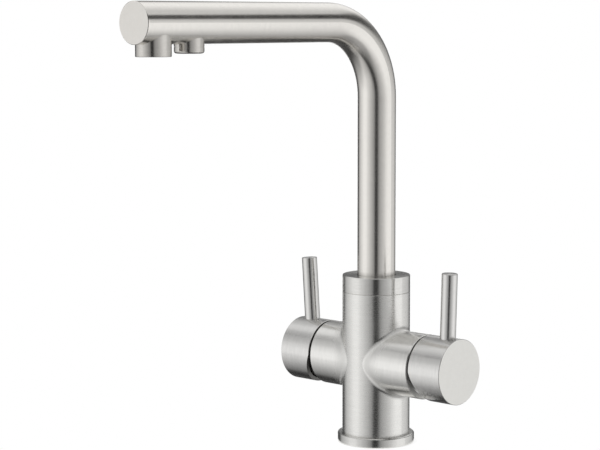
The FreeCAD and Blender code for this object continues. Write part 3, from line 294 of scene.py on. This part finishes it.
def moulded(name, tint, rough, grain, relief):
    """Plastic, rubber or ceramic: a body colour with a faint cloudiness and a fine surface grain."""
    made = Material(name)
    cloud = made.noise(made.place(), 120.0, 3.0, 0.55)
    fine = made.noise(made.place(), grain, 3.0, 0.6)
    dark, light = [linear(scaled(tint, factor)) for factor in (0.95, 1.03)]
    made.put(made.shader.inputs["Base Color"], made.mix(made.ramp(cloud, 0.3, 0.7, 0.0, 1.0), dark, light))
    made.put(made.shader.inputs["Roughness"], made.ramp(fine, 0.3, 0.7, rough - 0.05, rough + 0.05))
    bump = made.add("Bump", Strength=relief, Distance=0.00005, Height=fine)
    made.put(made.shader.inputs["Normal"], bump.outputs[0])
    return made.material


# Finishes

SIDES = ("mixer", "filter")
OUTWARD = {"mixer": 1.0, "filter": -1.0}
LEVER_LEAN = {"mixer": math.radians(1.6), "filter": math.radians(4.0)}
# How near to an axis a face's normal is, as a cosine: square to it, or only turned that way
SQUARE = 0.999
TOWARDS = 0.7


def on_side(*kinds):
    """The names of both sides' pieces of some kinds."""
    return [side + "_" + kind for side in SIDES for kind in kinds]


def paint(names, material):
    for name in names:
        mesh = nodes[name].data
        mesh.materials.clear()
        mesh.materials.append(material)


def paint_where(name, finish, wanted):
    """Give the faces of a piece that a test picks a finish of their own."""
    mesh = nodes[name].data
    mesh.materials.append(finish)
    for polygon in mesh.polygons:
        if wanted(polygon):
            polygon.material_index = len(mesh.materials) - 1


def paint_end(name, wall, face, axis):
    """Paint a piece, with a finish of its own for the flat face at its end along the axis."""
    axis = Vector(axis)
    end = max(axis.dot(vertex.co) for vertex in nodes[name].data.vertices) - 0.0001
    paint([name], wall)
    paint_where(name, face,
                lambda polygon: axis.dot(polygon.normal) > SQUARE and axis.dot(polygon.center) > end)


def finish_body():
    within = SHORT_ARM - 0.001
    paint(["tap_body"], brushed_body())
    paint_where("tap_body", satin("arm_end_steel", rough=0.6),
                lambda polygon: abs(polygon.normal.x) > SQUARE and abs(polygon.center.x) > within)
    paint(["collar", "base_flange"], brushed("brushed_rings", about_barrel, tint=(227, 226, 223), rough=0.2))


def finish_spout():
    tube = brushed("brushed_tube", about_spout, tint=WARM_STEEL, rough=0.23, contrast=0.6)
    paint(["spout_tube"], tube)
    paint_end("spout_end_cap", tube, satin("spout_face", (233, 230, 225)), (0, -1, 0))
    for name in ("main_outlet", "filter_outlet"):
        paint([name], brushed(name + "_steel", about_piece(name), tint=(216, 213, 208)))


def finish_handles():
    walls = brushed("brushed_caps", about_arms, tint=(229, 228, 226), anisotropy=0.8)
    face = satin("cap_face", (237, 236, 232))
    # Cap faces towards the arm: a bare milled finish, rougher than the walls, whose dark tint is painted
    # shade for the gap between cap and arm
    milled_with_painted_shade = satin("milled_steel_painted_shade", (132, 131, 129), rough=0.4)
    for side in SIDES:
        cap, lever = side + "_cap", side + "_lever"
        out, lean = OUTWARD[side], LEVER_LEAN[side]
        paint_end(cap, walls, face, (out, 0, 0))
        # The cap's faces towards the arm, down to the slanted relief, get the milled finish with its painted
        # gap shade
        paint_where(cap, milled_with_painted_shade, lambda polygon: out * polygon.normal.x < -TOWARDS)
        axis = (out * math.sin(lean), 0.0, math.cos(lean))
        paint([lever], brushed(lever + "_steel", about_piece(lever, axis), tint=(226, 225, 223),
                               contrast=0.6))
    paint(on_side("dome"), satin("dome_steel", rough=0.3))


def finish_inside():
    paint(["inlet_block", "spout_base", "filter_stalk", "filter_pipe"],
          machined("turned_steel", about_barrel, (196, 196, 194), 0.3))
    paint(on_side("stem", "tilt_pin", "set_screw"), machined("pin_steel", about_arms, (190, 190, 188), 0.28))
    paint(on_side("retaining_nut", "yoke"), machined("turned_brass", about_arms, (214, 182, 110), 0.3))
    paint(on_side("fixed_disc", "moving_disc"), moulded("ceramic", (232, 229, 220), 0.25, 900.0, 0.05))
    paint(["collar_bush", "lower_slip_ring", "filter_nozzle", "aerator_shell", "aerator_grid",
           "aerator_flow_plate"] + on_side("cartridge_base", "cartridge_housing", "disc_carrier"),
          moulded("white_plastic", (222, 222, 218), 0.42, 1500.0, 0.12))
    paint(["base_seal", "spout_o_rings", "stalk_o_ring", "aerator_seal", "filter_nozzle_seal"]
          + on_side("port_seals"), moulded("black_rubber", (38, 38, 38), 0.6, 1800.0, 0.3))


# Camera, as fitted to the photo

CAMERA_PLACE = Vector((0.87117, -1.00988, 0.31031))
CAMERA_RIGHT = Vector((0.72908, 0.68443, -0.00175))
CAMERA_UP = Vector((-0.07471, 0.08212, 0.99382))
CAMERA_LOOK = Vector((-0.68034, 0.72444, -0.111))
CAMERA_LENS = 109.2
# The studio's angles are counted from the camera's bearing, taken from a point under the spout
BEARING_POINT = Vector((0.0, -0.08, 0.0))
CAMERA_BEARING = math.atan2(CAMERA_PLACE.y - BEARING_POINT.y, CAMERA_PLACE.x - BEARING_POINT.x)


def make_camera():
    data = bpy.data.cameras.new("camera")
    data.sensor_width = 36.0
    data.lens = CAMERA_LENS
    camera = bpy.data.objects.new("camera", data)
    scene.collection.objects.link(camera)
    turn = Matrix((CAMERA_RIGHT, CAMERA_UP, -CAMERA_LOOK)).transposed()
    camera.matrix_world = Matrix.Translation(CAMERA_PLACE) @ turn.to_4x4()
    scene.camera = camera


# Studio: a white world with cards and flags round the part, hidden from the camera. Angles are in degrees

# Brightness of the cards at the part's height, by the angle from the camera: a dark flag where the camera
# stands, a large pale card on each side and a dark flag behind each
ROUND = ((-180, 0.16), (-165, 0.12), (-150, 0.08), (-142, 0.13), (-126, 0.62), (-116, 0.78), (-100, 0.98),
         (-85, 1.20), (-72, 1.20), (-52, 0.88), (-36, 0.63), (-21, 0.42), (-16, 0.34), (-10, 0.04),
         (3, 0.05), (10, 0.35), (17, 0.50), (28, 0.64), (42, 0.82), (57, 1.08), (73, 1.32), (88, 1.32),
         (103, 0.94), (119, 0.83), (133, 0.70), (143, 0.40), (153, 0.12), (165, 0.12), (180, 0.16))
# How the cards fade with height; the right one ends under a dark gap
LEFT_FADE = ((-90, 0.30), (-52, 0.36), (-42, 0.47), (-32, 0.58), (-20, 0.74), (-10, 0.97), (0, 0.93),
             (12, 0.80), (24, 0.61), (36, 0.50), (90, 0.5))
RIGHT_FADE = ((-90, 0.25), (-50, 0.36), (-41, 0.70), (-35, 0.76), (-27, 0.84), (-16, 0.88), (-6, 0.94),
              (6, 0.70), (12, 0.60), (16, 0.05), (29.5, 0.05), (33, 0.9), (90, 0.9))
# Where the right fade takes over from the left one, and where it gives way again behind the part
RIGHT_START = (0.0, 30.0)
BACK_START = (125.0, 160.0)
# Ceiling, round the room; its lower edge, which comes down at the back, and how softly it begins
CEILING = ((-180, 0.30), (-172, 0.42), (-160, 0.66), (-130, 0.95), (-100, 0.78), (0, 0.78), (90, 0.62),
           (108, 0.69), (134, 0.94), (150, 1.10), (168, 1.10), (176, 0.90), (180, 0.42))
CEILING_EDGE = 30.0
DROP_ON_LEFT = 14.0
DROP_ON_RIGHT = 22.0
CEILING_SOFTNESS = 12.0
# A dark line between the left card and the ceiling: its height, half its width, its rise per degree
# towards the back from where it starts, and how far it runs either way from there
SEAM_HEIGHT = 38.3
SEAM_HALF_WIDTH = 1.4
SEAM_SOFTNESS = 0.4
SEAM_RISE = 0.25
SEAM_START = -95.0
SEAM_REACH = (14.0, 24.0)
SEAM_LEVEL = 0.04
# A low card on the left that brightens the inside of the spout's bend: its middle, its reach either way
# and its depth below the part
LOW_CARD_MIDDLE = -52.0
LOW_CARD_REACH = (20.0, 42.0)
LOW_CARD_DEPTH = (12.0, 32.0)
LOW_CARD_LEVEL = 0.30
CARD_STRENGTH = 0.905
# The shell that the cards lie on, in metres, and its opening behind the part
CARD_DISTANCE = 12.0
CARD_MIDDLE = (0.0, -0.1, 0.16)
WINDOW_HALF_WIDTH = 11.0
WINDOW_BOTTOM = -15.0
WINDOW_TOP = 2.0
# Floor round the base, in metres
FLOOR_RADIUS = FLANGE_RADIUS + 0.002
FLOOR_CORNERS = 128
FLOOR_COLOUR = 0.25
FLOOR_GLOW = 0.86
# Key lamp, in metres and watts
KEY_PLACE = Vector((-1.0, -1.0, 1.8))
KEY_TARGET = Vector((0.0, -0.05, 0.1))
KEY_SIZE = (1.2, 1.6)
KEY_POWER = 14.0


def share(value, low, high):
    """How far a value is from low to high, from 0 to 1."""
    return min(max((value - low) / (high - low), 0.0), 1.0)


def blend(part, low, high):
    return low + (high - low) * part


def eased(stops, place):
    """The level at a place, eased between (place, level) stops."""
    for (start, low), (end, high) in zip(stops, stops[1:]):
        if place <= end:
            part = share(place, start, end)
            return blend(part * part * (3.0 - 2.0 * part), low, high)
    return stops[-1][1]


def card_level(degrees, height):
    """How bright the cards are in one direction from the part."""
    on_right = share(degrees, *RIGHT_START)
    behind = share(abs(degrees), *BACK_START)
    fade = blend(on_right * (1.0 - behind), eased(LEFT_FADE, height), eased(RIGHT_FADE, height))
    edge = CEILING_EDGE - (DROP_ON_RIGHT if degrees > 0 else DROP_ON_LEFT) * behind + on_right
    overhead = share(height, edge, edge + CEILING_SOFTNESS)
    level = blend(overhead, eased(ROUND, degrees) * fade, eased(CEILING, degrees))

    line = SEAM_HEIGHT + SEAM_RISE * max(SEAM_START - degrees, 0.0)
    across_seam = share(abs(height - line), SEAM_HALF_WIDTH - SEAM_SOFTNESS, SEAM_HALF_WIDTH + SEAM_SOFTNESS)
    along_seam = share(abs(degrees - SEAM_START), *SEAM_REACH)
    level = blend((1.0 - across_seam) * (1.0 - along_seam), level, SEAM_LEVEL)

    across_card = share(abs(degrees - LOW_CARD_MIDDLE), *LOW_CARD_REACH)
    below = share(-height, *LOW_CARD_DEPTH)
    return CARD_STRENGTH * (level + LOW_CARD_LEVEL * (1.0 - across_card) * below)


def in_window(degrees, height):
    """Whether a direction lies in what the camera sees behind the part."""
    return abs(degrees) > 180.0 - WINDOW_HALF_WIDTH and WINDOW_BOTTOM < height < WINDOW_TOP


def card_shell():
    """Corners, levels and faces of the cards, a degree apart, open where the white world shows."""
    turns, rises = range(-180, 180), range(-89, 90)
    corners, levels, faces = [], [], []
    for height in rises:
        flat = math.cos(math.radians(height))
        for degrees in turns:
            bearing = math.radians(degrees) + CAMERA_BEARING
            point = (flat * math.cos(bearing), flat * math.sin(bearing), math.sin(math.radians(height)))
            corners.append(tuple(CARD_DISTANCE * part for part in point))
            levels.append(min(card_level(degrees, height), 1.0))
    for row, height in enumerate(rises[:-1]):
        for column, degrees in enumerate(turns):
            after = (column + 1) % len(turns)
            face = [row * len(turns) + column, row * len(turns) + after,
                    (row + 1) * len(turns) + after, (row + 1) * len(turns) + column]
            darker = min(levels[corner] for corner in face) < 1.0
            face_middle = (degrees + 0.5, height + 0.5)
            if darker and not in_window(*face_middle):
                faces.append(face)
    return corners, levels, faces


def make_world():
    """The white backdrop, which the metal mirrors too where no card stands."""
    world = bpy.data.worlds.new("backdrop")
    scene.world = world
    world.use_nodes = True
    white = world.node_tree.nodes["Background"]
    white.inputs["Color"].default_value = (1.0, 1.0, 1.0, 1.0)
    white.inputs["Strength"].default_value = 1.0


def make_cards():
    """Glowing cards and flags on a wide shell, which only the camera doesn't see."""
    corners, levels, faces = card_shell()
    mesh = bpy.data.meshes.new("cards")
    mesh.from_pydata(corners, [], faces)
    mesh.attributes.new("level", "FLOAT", "POINT").data.foreach_set("value", levels)
    cards = bpy.data.objects.new("cards", mesh)
    cards.location = CARD_MIDDLE
    cards.visible_camera = False
    scene.collection.objects.link(cards)
    made = Material("card_glow")
    given = made.add("Attribute")
    given.attribute_name = "level"
    glow = made.add("Emission", Color=given.outputs["Fac"], Strength=1.0)
    made.put(made.output.inputs["Surface"], glow.outputs[0])
    made.tree.nodes.remove(made.shader)
    made.material.cycles.emission_sampling = "NONE"
    mesh.materials.append(made.material)


def make_floor():
    """A white plate round the base that takes its soft shadow and is white in the metal too."""
    turns = [2 * math.pi * step / FLOOR_CORNERS for step in range(FLOOR_CORNERS)]
    corners = [(FLOOR_RADIUS * math.cos(turn), FLOOR_RADIUS * math.sin(turn), 0.0) for turn in turns]
    mesh = bpy.data.meshes.new("floor")
    mesh.from_pydata(corners, [], [tuple(range(FLOOR_CORNERS))])
    floor = bpy.data.objects.new("floor", mesh)
    scene.collection.objects.link(floor)
    made = Material("floor_paint")
    made.shader.inputs["Base Color"].default_value = (FLOOR_COLOUR, FLOOR_COLOUR, FLOOR_COLOUR, 1.0)
    made.shader.inputs["Roughness"].default_value = 1.0
    made.shader.inputs["Specular IOR Level"].default_value = 0.0
    path = made.add("LightPath").outputs
    seen = made.math("MAXIMUM", path["Is Camera Ray"],
                     made.math("MAXIMUM", path["Is Glossy Ray"], path["Is Transmission Ray"]))
    glow = made.add("Emission", Color=(1.0, 1.0, 1.0, 1.0), Strength=made.math("MULTIPLY", seen, FLOOR_GLOW))
    both = made.add("AddShader")
    made.put(both.inputs[0], made.shader.outputs[0])
    made.put(both.inputs[1], glow.outputs[0])
    made.put(made.output.inputs["Surface"], both.outputs[0])
    mesh.materials.append(made.material)


def make_key_lamp():
    """A soft lamp up on the left, which the metal doesn't mirror."""
    data = bpy.data.lights.new("key", "AREA")
    data.shape = "RECTANGLE"
    data.size, data.size_y = KEY_SIZE
    data.energy = KEY_POWER
    lamp = bpy.data.objects.new("key", data)
    scene.collection.objects.link(lamp)
    lamp.location = KEY_PLACE
    lamp.rotation_euler = (KEY_TARGET - KEY_PLACE).to_track_quat("-Z", "Y").to_euler()
    lamp.visible_glossy = False


finish_body()
finish_spout()
finish_handles()
finish_inside()
make_camera()
make_world()
make_cards()
make_floor()
make_key_lamp()
scene.view_settings.view_transform = "Standard"
